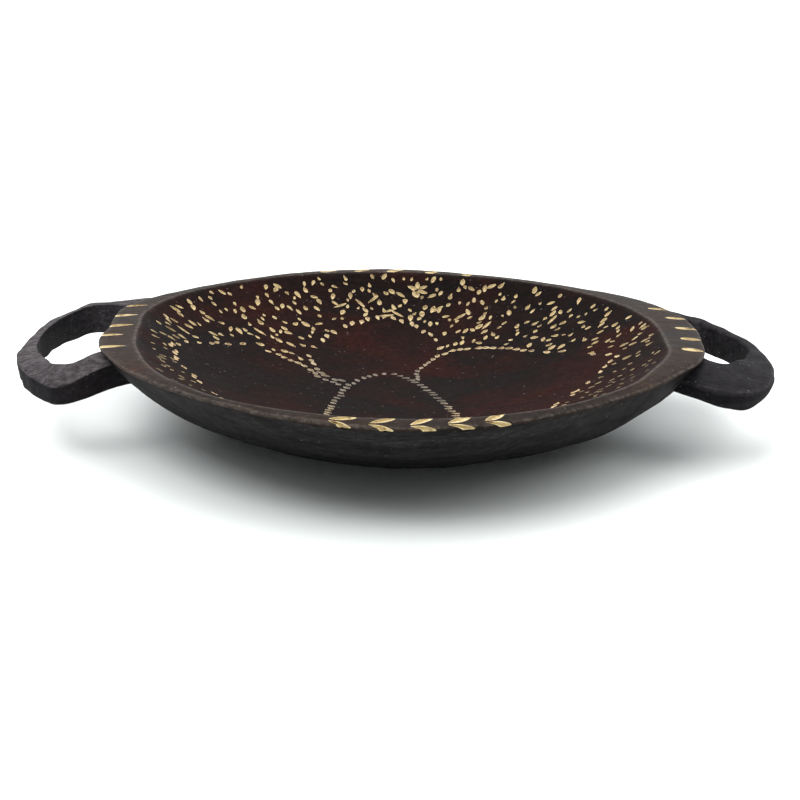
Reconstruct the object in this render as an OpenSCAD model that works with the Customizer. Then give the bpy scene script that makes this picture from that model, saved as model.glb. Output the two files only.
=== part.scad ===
// Carved two-handled serving bowl with gouged rim and interior pattern
// Millimetres. Origin at the centre of the flat resting face, +Z up, handles along X.

/* [Bowl] */
// Width of the bowl across the rim
bowl_d = 366; // [280:1:460]
// Height of the rim above the resting face
bowl_h = 58; // [45:1:80]
// Width of the flat resting face
foot_d = 166; // [120:1:210]
// Thickness of the floor of the bowl
floor_t = 17; // [10:0.5:24]
// Width of the level middle of the floor
floor_flat_d = 60; // [30:1:110]
// Roundness of the outer wall above the foot, as a share of its rise
wall_round = 0.34; // [0.2:0.01:0.45]

/* [Rim] */
// Width of the rim's top band
rim_w = 18; // [13:0.5:24]
// Thickness of the rim band
rim_t = 6.5; // [5:0.5:11]
// Overhang of the rim band beyond the wall
rim_lip = 4; // [2:0.5:8]
// Drop of the rim's top from its inner crest to its outer edge
rim_drop = 0.6; // [0.2:0.1:1.2]

/* [Handles] */
// Reach of the left handle beyond the rim
left_reach = 53.5; // [40:0.5:70]
// Reach of the right handle beyond the rim
right_reach = 45.5; // [38:0.5:70]
// Overall span of each handle along the rim
handle_span = 174; // [130:1:200]
// Width of the left handle's bar
left_bar_w = 17; // [12:0.5:28]
// Width of the right handle's bar
right_bar_w = 20; // [12:0.5:30]
// Height of the handle bars
bar_h = 17; // [12:0.5:22]
// Bevel on the handle bars' edges
bar_bevel = 4; // [2:0.5:5]
// Radius of the handles' corners, on the bar's centre line
corner_r = 46; // [30:1:52]
// Droop of the handles, in degrees
droop = 8; // [0:1:16]
// Level of the handles' top face below the rim, where they leave the wall
handle_drop = 1.5; // [1:0.5:8]

/* [Rim marks] */
// Number of chevrons on each of the front and back rims
chevrons = 5; // [3:1:7]
// Spacing of the front chevrons
front_pitch = 18.5; // [16:0.5:26]
// Spacing of the back chevrons
back_pitch = 25; // [16:0.5:30]
// Length of one chevron arm
arm_len = 13; // [9:0.5:16]
// Angle of each chevron arm from the rim's direction
arm_angle = 21; // [14:1:32]
// Number of straight notches on each side rim
notches = 5; // [3:1:7]
// Spacing of the side notches
notch_pitch = 25; // [16:0.5:32]
// Shift of the left notches' middle towards the front
left_shift = 8; // [-20:1:20]
// Shift of the right notches' middle towards the back
right_shift = 12; // [-20:1:20]
// Length of a side notch
notch_len = 14; // [9:0.5:16]
// Width of a rim gouge
gouge_w = 3.6; // [2.4:0.1:5]
// Depth of a rim gouge
gouge_d = 1.2; // [0.8:0.1:2]

/* [Inside marks] */
// Length of an inside chip
chip_len = 7; // [4:0.5:9]
// Width of an inside chip
chip_w = 4; // [2.5:0.5:5]
// Depth of an inside chip
chip_d = 1.6; // [1.2:0.1:2.4]
// Spacing of the chips along the ring lines
line_pitch = 11; // [9.5:0.5:16]
// Spacing of the chips in the fields
field_pitch = 11.5; // [11:0.5:20]

/* [Hidden] */
$fn = 96;

rim_r = bowl_d / 2;
wall_r = rim_r - rim_lip;
crest_r = rim_r - rim_w;
foot_r = foot_d / 2;
flat_r = floor_flat_d / 2;
band_z = bowl_h - rim_t;
depth = bowl_h - floor_t;
run = crest_r - flat_r;
// radius of the inside wall's curve, tangent to the level floor
dish_r = (run * run + depth * depth) / (2 * depth);
wall_steps = 14;
// how far the wall's curve leaves the foot level, and how far it follows the rim's slope
foot_ease = 0.17;
wall_ease = 0.44;
lip_bevel = 1.2;
// how far cutters run past the faces they cut
past = 4;
// where the handle arms start inside the wall, as a share of the rim radius
root_share = 0.84;

// bare wood left at the bottom of each mark
liner_t = 0.8;
chip_sink = 0.6;
gouge_steps = 3;
chip_shoulder = 0.22;

// inside rings: centre x and y, half-widths in x and y, as shares of the rim radius
south = [-0.04, -0.27, 0.205, 0.47];
north = [-0.09, 0.455, 0.24, 0.205];
west = [-0.49, -0.065, 0.275, 0.34];
east = [0.385, 0.065, 0.34, 0.335];
ring_gap = 9;
field_in = 0.24;
field_rows = 14;
chip_sway = 24;

// height of the inside surface at a distance r from the middle
function inside_z(r) =
    r <= flat_r ? floor_t : floor_t + dish_r - sqrt(dish_r * dish_r - pow(r - flat_r, 2));
// distance from the middle at which the inside surface reaches a height z
function inside_r(z) = flat_r + dish_r * sin(acos(1 - (z - floor_t) / dish_r));
// slope of the inside surface, in degrees
function inside_slope(r) = r <= flat_r ? 0 : asin((r - flat_r) / dish_r);

// outer wall from the foot to the rim, leaving the foot level and steepening to the rim
function wall_point(t) =
    let (
        rise = wall_r - foot_r,
        a = [foot_r, 0],
        b = [foot_r + rise * foot_ease, 0],
        c = [wall_r - rise * wall_ease, band_z * wall_round],
        d = [wall_r, band_z])
    a * pow(1 - t, 3) + b * 3 * t * pow(1 - t, 2) + c * 3 * t * t * (1 - t) + d * pow(t, 3);
wall_pts = [for (i = [0 : wall_steps]) wall_point(i / wall_steps)];

// inside wall, from a height down to the level floor
function dish_pts(top_z) =
    let (top_a = acos((dish_r - (top_z - floor_t)) / dish_r))
    [for (i = [wall_steps : -1 : 0]) let (a = top_a * i / wall_steps)
        [flat_r + dish_r * sin(a), floor_t + dish_r * (1 - cos(a))]];

module body_blank() {
    rotate_extrude()
        polygon(concat([[0, 0]], wall_pts, dish_pts(band_z), [[0, floor_t]]));
}

module rim_blank() {
    inner = dish_r * (1 - cos(asin((crest_r - flat_r) / dish_r)));
    band = [for (p = dish_pts(floor_t + inner)) if (p[1] > band_z + 0.5) p];
    rotate_extrude()
        polygon(concat(band, [dish_pts(band_z)[0]],
            [[rim_r - lip_bevel, band_z], [rim_r, band_z + lip_bevel],
             [rim_r, bowl_h - rim_drop - lip_bevel], [rim_r - lip_bevel, bowl_h - rim_drop]]));
}

// everything inside the bowl's outer skin, for trimming the handles
module outer_blank() {
    rotate_extrude()
        polygon(concat([[0, 0]], wall_pts,
            [[rim_r - lip_bevel, band_z], [rim_r, band_z + lip_bevel],
             [rim_r, bowl_h - rim_drop - lip_bevel], [rim_r - lip_bevel, bowl_h - rim_drop],
             [crest_r, bowl_h], [crest_r, bowl_h + past], [0, bowl_h + past]]));
}

module bar_section(w) {
    polygon([[-w / 2 + bar_bevel, -bar_h], [w / 2 - bar_bevel, -bar_h],
        [w / 2, -bar_h + bar_bevel], [w / 2, -bar_bevel],
        [w / 2 - bar_bevel, 0], [-w / 2 + bar_bevel, 0],
        [-w / 2, -bar_bevel], [-w / 2, -bar_h + bar_bevel]]);
}

// a bar of the handle's section from the origin along +X
module bar(w, len) {
    rotate([90, 0, 90])
        linear_extrude(height = len)
            bar_section(w);
}

// handle loop reaching out along +X
module handle(reach, w) {
    arm_y = handle_span / 2 - w / 2;
    bar_x = rim_r + reach - w / 2;
    arm_x = rim_r * root_share;
    corner_x = bar_x - corner_r;
    corner_y = arm_y - corner_r;
    difference() {
        translate([arm_x, 0, bowl_h - handle_drop])
            rotate([0, droop, 0])
                translate([-arm_x, 0, 0]) {
                    for (side = [-1, 1])
                        translate([arm_x, side * arm_y, 0])
                            bar(w, corner_x - arm_x);
                    translate([corner_x, corner_y, 0])
                        rotate_extrude(angle = 90)
                            translate([corner_r, 0])
                                bar_section(w);
                    translate([corner_x, -corner_y, 0])
                        rotate([0, 0, -90])
                            rotate_extrude(angle = 90)
                                translate([corner_r, 0])
                                    bar_section(w);
                    translate([bar_x, -corner_y, 0])
                        rotate([0, 0, 90])
                            bar(w, 2 * corner_y);
                }
        outer_blank();
    }
}

// long pointed gouge lying along X, cut into a face at z = 0, lowered by extra
module gouge(len, extra) {
    mid_r = (gouge_w * gouge_w / 4 + gouge_d * gouge_d) / (2 * gouge_d);
    lift = mid_r - gouge_d;
    end_r = lift * 0.98;
    translate([0, 0, lift - extra])
        rotate([0, 90, 0])
            rotate_extrude($fn = 48)
                polygon(concat([[0, -len / 2]],
                    [for (i = [-gouge_steps : gouge_steps]) let (s = i / gouge_steps)
                        [end_r + (mid_r - end_r) * (1 - s * s), s * len / 2]],
                    [[0, len / 2]]));
}

// the two arms of one chevron, its point at the origin towards -X
module chevron(extra) {
    for (side = [-1, 1])
        rotate([0, 0, side * arm_angle])
            translate([arm_len / 2 + 1, side * gouge_w * 0.32, 0])
                gouge(arm_len, extra);
}

// chevrons along the front rim, pointing to -X, turned about the middle of the bowl
module chevron_row(pitch, extra) {
    row_r = rim_r - rim_w * 0.5;
    step = pitch / row_r * 180 / PI;
    for (i = [0 : chevrons - 1])
        rotate([0, 0, (i - (chevrons - 1) / 2) * step])
            translate([-arm_len * 0.5, -row_r, bowl_h - rim_drop * 0.5])
                chevron(extra);
}

module back_row(extra) {
    rotate([0, 0, 180])
        chevron_row(back_pitch, extra);
}

// notches on the right rim, running in from its outer edge, parallel to X
module notch_row(shift, extra) {
    for (i = [0 : notches - 1]) {
        y = (i - (notches - 1) / 2) * notch_pitch + shift;
        edge_x = sqrt(rim_r * rim_r - y * y);
        translate([edge_x - notch_len * 0.42, y, bowl_h - rim_drop * 0.75])
            gouge(notch_len, extra);
    }
}

module right_notches(extra) {
    notch_row(right_shift, extra);
}

module left_notches(extra) {
    rotate([0, 0, 180])
        notch_row(left_shift, extra);
}

module rim_cuts(extra) {
    chevron_row(front_pitch, extra);
    back_row(extra);
    right_notches(extra);
    left_notches(extra);
}

// furthest a chip may be from the middle, so that it stays below the rim band
chip_reach = inside_r(band_z) - chip_len / 2 - 1;

// where a point is relative to a ring grown by a margin: below 1 is inside
function in_ring(p, ring, grow) =
    pow((p[0] - ring[0] * rim_r) / (ring[2] * rim_r + grow), 2)
    + pow((p[1] - ring[1] * rim_r) / (ring[3] * rim_r + grow), 2);
function clear_of(p, rings, grow) = len([for (g = rings) if (in_ring(p, g, grow) < 1) 1]) == 0;

function ring_count(ring) = round(PI * (ring[2] + ring[3]) * rim_r / line_pitch);
// chips on a ring's line that stay clear of the rings already laid: x, y, direction
function ring_chips(ring, others) =
    let (n = ring_count(ring))
    [for (i = [0 : n - 1]) let (
            a = 360 * i / n,
            p = [(ring[0] + ring[2] * cos(a)) * rim_r, (ring[1] + ring[3] * sin(a)) * rim_r],
            way = atan2(ring[3] * cos(a), -ring[2] * sin(a)))
        if (clear_of(p, others, ring_gap) && norm(p) < chip_reach) [p[0], p[1], way]];

// chips in honeycomb rows round the middle, clear of all rings, between two directions
function field_chips(from_a, to_a) =
    [for (k = [0 : field_rows - 1]) let (
            r = field_in * rim_r + k * field_pitch,
            n = 3 * round(2 * PI * r / field_pitch / 3))
        for (j = [0 : n - 1]) let (
            a = 360 * (j + (k % 2) * 0.5) / n,
            p = [r * cos(a), r * sin(a)])
            if (r < chip_reach && a >= from_a && a < to_a && (j + 2 * k) % 3 != 0
                && clear_of(p, [south, north, west, east], ring_gap))
                [p[0], p[1], a + chip_sway * (((j + k) % 2) * 2 - 1)]];

south_chips = ring_chips(south, []);
north_chips = ring_chips(north, [south]);
west_chips = ring_chips(west, [south, north]);
east_chips = ring_chips(east, [south, north, west]);
nw_chips = field_chips(90, 180);
ne_chips = field_chips(0, 90);
sw_chips = field_chips(180, 270);
se_chips = field_chips(270, 360);
all_chips = concat(south_chips, north_chips, west_chips, east_chips,
    nw_chips, ne_chips, sw_chips, se_chips);

module leaf() {
    polygon([[-chip_len / 2, 0], [-chip_len * chip_shoulder, -chip_w / 2],
        [chip_len * chip_shoulder, -chip_w / 2], [chip_len / 2, 0],
        [chip_len * chip_shoulder, chip_w / 2], [-chip_len * chip_shoulder, chip_w / 2]]);
}

// leaf prism standing on the inside surface from z = low to z = high of the local face
module at_chip(c, low, high) {
    r = norm([c[0], c[1]]);
    a = atan2(c[1], c[0]);
    translate([c[0], c[1], inside_z(r)])
        rotate([0, -inside_slope(r), a])
            rotate([0, 0, c[2] - a])
                translate([0, 0, low])
                    linear_extrude(height = high - low)
                        leaf();
}

module chips(list) {
    for (c = list)
        at_chip(c, -chip_d, -chip_sink);
}

module bowl_body() {
    color("#2b2422")
        difference() {
            body_blank();
            for (c = all_chips)
                at_chip(c, -chip_d, past);
        }
}

module rim_band() {
    color("#3a3330")
        difference() {
            rim_blank();
            rim_cuts(liner_t);
        }
}

module handle_left() {
    color("#2f2b2c")
        rotate([0, 0, 180])
            handle(left_reach, left_bar_w);
}

module handle_right() {
    color("#2f2b2c")
        handle(right_reach, right_bar_w);
}

// the thin bare layer left under a set of rim gouges
module chevrons_front() {
    color("#d9bb85")
        difference() {
            intersection() {
                rim_blank();
                chevron_row(front_pitch, liner_t);
            }
            chevron_row(front_pitch, 0);
        }
}

module chevrons_back() {
    color("#d9bb85")
        difference() {
            intersection() {
                rim_blank();
                back_row(liner_t);
            }
            back_row(0);
        }
}

module notches_left() {
    color("#d9bb85")
        difference() {
            intersection() {
                rim_blank();
                left_notches(liner_t);
            }
            left_notches(0);
        }
}

module notches_right() {
    color("#d9bb85")
        difference() {
            intersection() {
                rim_blank();
                right_notches(liner_t);
            }
            right_notches(0);
        }
}

module ring_line_west() {
    color("#c9a86f")
        chips(west_chips);
}

module ring_line_east() {
    color("#c9a86f")
        chips(east_chips);
}

module ring_line_north() {
    color("#c9a86f")
        chips(north_chips);
}

module ring_line_south() {
    color("#c9a86f")
        chips(south_chips);
}

module chip_field_north_west() {
    color("#d9bb85")
        chips(nw_chips);
}

module chip_field_north_east() {
    color("#d9bb85")
        chips(ne_chips);
}

module chip_field_south_west() {
    color("#d9bb85")
        chips(sw_chips);
}

module chip_field_south_east() {
    color("#d9bb85")
        chips(se_chips);
}

bowl_body();
rim_band();
handle_left();
handle_right();
chevrons_front();
chevrons_back();
notches_left();
notches_right();
ring_line_west();
ring_line_east();
ring_line_north();
ring_line_south();
chip_field_north_west();
chip_field_north_east();
chip_field_south_west();
chip_field_south_east();
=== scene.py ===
import math
import random

import bmesh
import bpy
import numpy as np
from mathutils import Matrix, Vector


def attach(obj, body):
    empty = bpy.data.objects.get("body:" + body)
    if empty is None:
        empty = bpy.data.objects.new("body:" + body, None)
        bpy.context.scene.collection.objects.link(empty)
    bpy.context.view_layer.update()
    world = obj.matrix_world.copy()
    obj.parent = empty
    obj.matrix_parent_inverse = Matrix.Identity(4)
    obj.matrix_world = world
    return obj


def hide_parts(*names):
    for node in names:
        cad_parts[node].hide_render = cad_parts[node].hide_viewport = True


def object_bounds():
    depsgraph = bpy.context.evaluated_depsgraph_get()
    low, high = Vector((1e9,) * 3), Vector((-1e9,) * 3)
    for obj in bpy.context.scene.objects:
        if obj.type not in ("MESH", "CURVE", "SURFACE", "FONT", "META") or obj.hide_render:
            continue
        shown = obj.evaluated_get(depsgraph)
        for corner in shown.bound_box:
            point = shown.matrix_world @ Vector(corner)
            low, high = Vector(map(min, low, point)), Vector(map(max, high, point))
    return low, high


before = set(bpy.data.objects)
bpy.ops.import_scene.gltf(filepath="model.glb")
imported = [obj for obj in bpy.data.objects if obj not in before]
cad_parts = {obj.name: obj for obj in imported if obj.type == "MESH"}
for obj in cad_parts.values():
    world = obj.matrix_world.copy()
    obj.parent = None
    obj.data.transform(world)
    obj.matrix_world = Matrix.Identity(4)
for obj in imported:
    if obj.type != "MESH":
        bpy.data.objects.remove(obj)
cad_box = [list(map(float, c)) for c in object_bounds()]

# sizes are in mm unless a comment says otherwise
MM = 0.001
TAU = 2 * math.pi
RIM_Z = cad_box[1][2] / MM - 0.7      # general level of the rim
RIM_R = 179.4                         # nominal radius of the rim
FLOOR_Z = 17.0                        # inside of the bowl's floor
FLAT_R = 30.0                         # the flat middle of that floor
FOOT_R = 81.0                         # general radius of the foot
FOOT_HOLLOW = [(0, 1.2), (30.0, 1.1), (52.0, 1.0), (66.0, 0.7), (72.0, 0.2), (75.0, 0.0)]
SEG = 512                             # steps round the bowl
CHIP_LINING = 0.45                    # bare wood that lines a cut inside the dish
RIM_LINING = 0.6                      # and one in the rim


# ---------------------------------------------------------------- small helpers
def material_slot(obj, mat):
    obj.data.materials.clear()
    obj.data.materials.append(mat)


def mesh_object(name, verts, faces):
    me = bpy.data.meshes.new(name)
    me.from_pydata([tuple(v) for v in np.asarray(verts) * MM], [], faces)
    me.validate()
    me.update()
    ob = bpy.data.objects.new(name, me)
    bpy.context.scene.collection.objects.link(ob)
    me.polygons.foreach_set("use_smooth", [True] * len(me.polygons))
    return ob


def sharpen(ob, angle):
    ob.data.set_sharp_from_angle(angle=math.radians(angle))


class Waves:
    """Smooth repeatable unevenness: a sum of sine waves in seeded directions."""

    def __init__(self, seed, length, count):
        rng = np.random.default_rng(seed)
        d = rng.normal(size=(count, 3))
        d /= np.linalg.norm(d, axis=1)[:, None]
        k = TAU / length * rng.uniform(0.6, 1.7, count)
        self.k = d * k[:, None]
        self.p = rng.uniform(0, TAU, count)
        self.n = math.sqrt(count / 2)

    def __call__(self, pts):
        return np.sin(np.asarray(pts) @ self.k.T + self.p).sum(1) / self.n


def boolean(target, cutter, operation):
    mod = target.modifiers.new("cut", "BOOLEAN")
    mod.operation = operation
    mod.solver = "MANIFOLD"
    mod.object = cutter
    dg = bpy.context.evaluated_depsgraph_get()
    me = bpy.data.meshes.new_from_object(target.evaluated_get(dg))
    target.modifiers.clear()
    old = target.data
    target.data = me
    bpy.data.meshes.remove(old)


def copy_of(ob, name):
    new = ob.copy()
    new.data = ob.data.copy()
    new.name = name
    bpy.context.scene.collection.objects.link(new)
    return new


def drop(ob):
    me = ob.data
    bpy.data.objects.remove(ob)
    bpy.data.meshes.remove(me)


# ---------------------------------------------------------------- the hand-carved outline
# radii every 15 degrees from +X towards the back, in mm
EDGE_R = [181, 187, 187, 180, 176, 176, 180, 180, 178, 177, 180, 185,
          178, 180, 176, 174, 174, 177, 179, 175, 169, 167, 170, 178]
CREST_R = [157, 161, 164, 166, 166, 165, 166, 167, 168, 168, 169, 167,
           160, 159, 162, 166, 169, 169, 168, 166, 163, 160, 157, 158]
# how full the wall is below the rim, and how soft the lip's edge is, from 0 to about 1
FULLNESS = [0.7, 0.5, 0.2, 0, 0, 0, 0, 0, 0, 0.2, 0.4, 0.7,
            0.9, 1.0, 0.75, 0.25, 0, 0, 0, 0, 0.15, 0.65, 1.1, 1.0]
SOFTNESS = [0.5, 0.4, 0.3, 0.3, 0.3, 0.3, 0.3, 0.3, 0.3, 0.3, 0.2, 0.1,
            0, 0, 0, 0, 0.1, 0.2, 0.35, 0.6, 0.9, 1, 1, 0.8]


def between(a, b, c, d, t):
    """Point between b and c, at t from 0 to 1, on a smooth curve through a, b, c and d."""
    return 0.5 * (2 * b + (c - a) * t + (2 * a - 5 * b + 4 * c - d) * t * t
                  + (3 * b - a - 3 * c + d) * t ** 3)


def around(table, a):
    """Smooth closed curve through values at equal angles."""
    t = np.asarray(table, float)
    n = len(t)
    u = (np.asarray(a) / TAU * n) % n
    i = np.floor(u).astype(int)
    return between(t[(i - 1) % n], t[i % n], t[(i + 1) % n], t[(i + 2) % n], u - i)


def rim_out(a):
    """Outer radius of the rim in a direction, in radians from +X."""
    return around(EDGE_R, a) + 0.25 * np.sin(19 * a + 1) + 0.2 * np.sin(31 * a)


def rim_in(a):
    """Radius of the inner crest of the rim."""
    return around(CREST_R, a) + 0.25 * np.sin(17 * a) + 0.15 * np.sin(29 * a + 2)


def rim_lift(a):
    """How far the rim stands above or below its general level."""
    return 0.2 * np.sin(2 * a + 0.6) + 0.15 * np.sin(3 * a + 2.0) + 0.08 * np.sin(13 * a) + 0.05


def lip_under(a):
    """Set-back and drop of the edge where the lip meets the wall."""
    q = around(SOFTNESS, a)
    nick = 0.35 * max(0.0, math.sin(41 * a + 1) * math.sin(23 * a) + 0.3 * math.sin(67 * a)) * (0.4 + q)
    return 0.9 + 0.4 * q + nick, 3.3 + 0.5 * q + 0.25 * math.sin(9 * a) + 0.15 * math.sin(37 * a)


def inside_height(x, y):
    """Height of the inside surface."""
    r = np.hypot(x, y)
    a = np.arctan2(y, x)
    edge = rim_in(a)
    run = edge - FLAT_R
    depth = RIM_Z + rim_lift(a) - FLOOR_Z
    big = (run * run + depth * depth) / (2 * depth)
    s = np.clip(r - FLAT_R, 0, run)
    return FLOOR_Z + big - np.sqrt(big * big - s * s)


def outside_profile(a, n=40):
    """Outer wall from the foot to just under the rim, (r, z) rows."""
    back, fall = lip_under(a)
    ro = rim_out(a) - back
    top = RIM_Z + rim_lift(a) - fall
    foot = FOOT_R + 1.5 * math.sin(2 * a + 1) + 1.0 * math.sin(5 * a)
    rise = ro - foot
    f = around(FULLNESS, a)
    p = np.array([[foot, 0], [foot + (0.17 + 0.12 * f) * rise, 0],
                  [ro - (0.42 - 0.2 * f) * rise, (0.34 - 0.04 * f) * top], [ro, top]])
    t = np.linspace(0, 1, n)[:, None]
    return (1 - t) ** 3 * p[0] + 3 * t * (1 - t) ** 2 * p[1] + 3 * t * t * (1 - t) * p[2] + t ** 3 * p[3]


def revolve(profile, name):
    """Closed solid swept round Z: profile(a) gives the same number of (r, z) rows at each angle,
    a closed loop away from the axis, or from axis to axis where it starts and ends at r = 0."""
    rows = [profile(TAU * i / SEG) for i in range(SEG)]
    n = len(rows[0])
    closed = rows[0][0][0] > 1e-6
    verts, faces = [], []
    if closed:
        for i, row in enumerate(rows):
            a = TAU * i / SEG
            for r, z in row:
                verts.append((r * math.cos(a), r * math.sin(a), z))
        for i in range(SEG):
            j = (i + 1) % SEG
            for k in range(n):
                m = (k + 1) % n
                faces.append((i * n + k, j * n + k, j * n + m, i * n + m))
    else:
        inner = n - 2
        verts.append((0, 0, rows[0][0][1]))
        verts.append((0, 0, rows[0][-1][1]))
        for i, row in enumerate(rows):
            a = TAU * i / SEG
            for r, z in row[1:-1]:
                verts.append((r * math.cos(a), r * math.sin(a), z))
        for i in range(SEG):
            j = (i + 1) % SEG
            bi, bj = 2 + i * inner, 2 + j * inner
            faces.append((0, bj, bi))
            faces.append((1, bi + inner - 1, bj + inner - 1))
            for k in range(inner - 1):
                faces.append((bi + k, bj + k, bj + k + 1, bi + k + 1))
    return mesh_object(name, verts, faces)


def body_profile(a):
    """Section of the dish, from the axis under the foot up the wall and back down the inside."""
    wall = outside_profile(a)
    edge = float(rim_in(a))
    top = RIM_Z + rim_lift(a)
    rows = FOOT_HOLLOW + [tuple(p) for p in wall]
    rs = np.concatenate([edge - np.array([0, 1.0, 2.5, 5, 8, 12]), np.linspace(edge - 17, 12, 38)])
    z = inside_height(rs * math.cos(a), rs * math.sin(a))
    z[0] = top - 0.6
    z[1] = 0.5 * (z[0] + z[1]) - 0.3
    rows += list(zip(rs, z))
    rows.append((0, FLOOR_Z))
    return rows


# the lip's outer edge where it is crisp and where it is soft, (r, z) from the rim's edge and top
CRISP_LIP = [(-1.4, -0.95), (-0.4, -1.2), (0.0, -1.7), (-0.05, -2.5), (-0.45, -3.0)]
SOFT_LIP = [(-4.0, -0.75), (-2.2, -1.15), (-0.7, -1.9), (0.0, -2.8), (-0.4, -3.5)]


def rim_profile(a):
    """Section of the rim, from the rolled crest over the top to the lip; it closes underneath."""
    ro, edge = float(rim_out(a)), float(rim_in(a))
    top = RIM_Z + rim_lift(a)
    back, fall = lip_under(a)
    q = around(SOFTNESS, a)
    w = ro - edge
    squeeze = min(1.0, w / 9)
    rows = [(edge, top - 0.6), (edge + 0.5 * squeeze, top - 0.34), (edge + 1.1 * squeeze, top - 0.15),
            (edge + 1.8 * squeeze, top - 0.05), (edge + 2.6 * squeeze, top)]
    start, end = edge + 2.6 * squeeze, ro - (1.4 + 2.6 * q) * squeeze
    for k in (0.25, 0.5, 0.75):
        rows.append((start + (end - start) * k, top - 0.85 * k ** 1.3))
    for (cr, cz), (sr, sz) in zip(CRISP_LIP, SOFT_LIP):
        rows.append((ro + ((1 - q) * cr + q * sr) * squeeze, top + (1 - q) * cz + q * sz))
    rows.append((ro - back, top - fall))
    return rows


def soften(ob, fields):
    """Move vertices by hand-work unevenness, given as (waves, amount, weight, way)."""
    me = ob.data
    co = np.empty(len(me.vertices) * 3)
    me.vertices.foreach_get("co", co)
    co = co.reshape(-1, 3) / MM
    for waves, amount, weight, way in fields:
        d = waves(co) * amount * weight(co)
        if way == "z":
            co[:, 2] += d
        else:
            r = np.hypot(co[:, 0], co[:, 1]) + 1e-9
            co[:, 0] += d * co[:, 0] / r
            co[:, 1] += d * co[:, 1] / r
    me.vertices.foreach_set("co", (co * MM).ravel())
    me.update()


def outer_only(co):
    """1 on the outer wall, 0 inside and at the rim and foot."""
    z_in = inside_height(co[:, 0], co[:, 1])
    out = np.clip((z_in - co[:, 2] - 2) / 6, 0, 1)
    return out * np.clip((co[:, 2] - 0.4) / 8, 0, 1) * np.clip((RIM_Z - 5 - co[:, 2]) / 8, 0, 1)


def inner_only(co):
    """1 on the inside surface, 0 at the crest and outside."""
    r = np.hypot(co[:, 0], co[:, 1])
    edge = rim_in(np.arctan2(co[:, 1], co[:, 0]))
    near = np.abs(inside_height(co[:, 0], co[:, 1]) - co[:, 2]) < 0.05
    return near * np.clip((edge - r - 1.5) / 8, 0, 1)


def rim_top_only(co):
    """1 on the rim's top face, 0 at the crest and below the lip's edge."""
    a = np.arctan2(co[:, 1], co[:, 0])
    share = (np.hypot(co[:, 0], co[:, 1]) - rim_in(a)) / (rim_out(a) - rim_in(a))
    low = RIM_Z + rim_lift(a) - co[:, 2]
    return (share > 0.1) * (low < 1.3) * np.clip((share - 0.05) * 6, 0, 1)


# ---------------------------------------------------------------- gouge cutters
def spindle(length, width, depth, rings, sides, skew=0.0):
    """Pointed closed gouge cutter along X, broader towards +X, deep below z = 0: (verts, faces)."""
    verts, faces = [(-length / 2, 0, 0.12)], []
    for i in range(1, rings):
        u = -1 + 2 * i / rings
        s = u + skew * (1 - u * u)
        w = width / 2 * ((1 - abs(s) ** 1.5) if s < 0 else (1 - s ** 3.2) ** 0.75)
        d = depth * (1 - abs(s) ** 2.2)
        for k in range(sides):
            t = TAU * k / sides
            z = math.sin(t)
            verts.append((u * length / 2, w * math.cos(t), z * (d if z < 0 else 1.1) + 0.12))
    verts.append((length / 2, 0, 0.12))
    last = 1 + (rings - 2) * sides
    for k in range(sides):
        m = (k + 1) % sides
        faces.append((0, 1 + m, 1 + k))
        faces.append((len(verts) - 1, last + k, last + m))
        for i in range(rings - 2):
            p = 1 + i * sides
            faces.append((p + k, p + m, p + sides + m, p + sides + k))
    return np.array(verts), faces


def place(shape, pos, normal, turn):
    """Put a cutter at pos, its Z along normal and its X towards the plan direction turn."""
    verts, faces = shape
    n = Vector(normal).normalized()
    x = Vector((math.cos(turn), math.sin(turn), 0))
    x = (x - n * x.dot(n)).normalized()
    y = n.cross(x)
    m = np.array([x, y, n]).T
    return verts @ m.T + np.array(pos), faces


def gather(name, parts):
    """One object from many (verts, faces) parts."""
    verts, faces, base = [], [], 0
    for v, f in parts:
        verts.append(v)
        faces += [tuple(i + base for i in face) for face in f]
        base += len(v)
    return mesh_object(name, np.concatenate(verts), faces)


def inside_normal(x, y, e=0.5):
    """Direction square to the inside surface, taken over e to each side."""
    dx = (inside_height(x + e, y) - inside_height(x - e, y)) / (2 * e)
    dy = (inside_height(x, y + e) - inside_height(x, y - e)) / (2 * e)
    return (-dx, -dy, 1.0)


# ---------------------------------------------------------------- where the marks go
# outlines of the four smooth discs, in mm, one overlapping the next in this order
DISCS = {
    "south": [(-42, -45), (-38, -15), (-33, 10), (-21, 31), (-6, 37), (8, 22), (18, 0), (26, -25),
              (31, -45), (34, -75), (28, -103), (10, -122), (-14, -124), (-34, -106), (-43, -76)],
    "west": [(-36, 2), (-52, 23), (-68, 42), (-97, 51), (-124, 32), (-139, 4), (-134, -24), (-118, -54),
             (-98, -84), (-72, -104), (-46, -100), (-34, -60)],
    "east": [(10, 38), (16, 56), (28, 72), (46, 77), (68, 71), (95, 52), (116, 31), (130, 6), (122, -10),
             (106, -32), (90, -58), (70, -88), (46, -98), (28, -70), (12, -10)],
    "north": [(-58, 44), (-61, 60), (-56, 77), (-48, 94), (-34, 110), (-14, 121), (4, 114), (18, 100),
              (26, 82), (27, 66), (22, 46), (6, 24), (-20, 20), (-44, 22)],
}
LINE_ROOM = 3.4                       # from a disc's line to the cuts of a disc it overlaps
FIELD_ROOM = 4.2                      # from a disc's line to the chips around it
CHIP_ROOM = 4.6                       # from a chip's middle to the next


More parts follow.
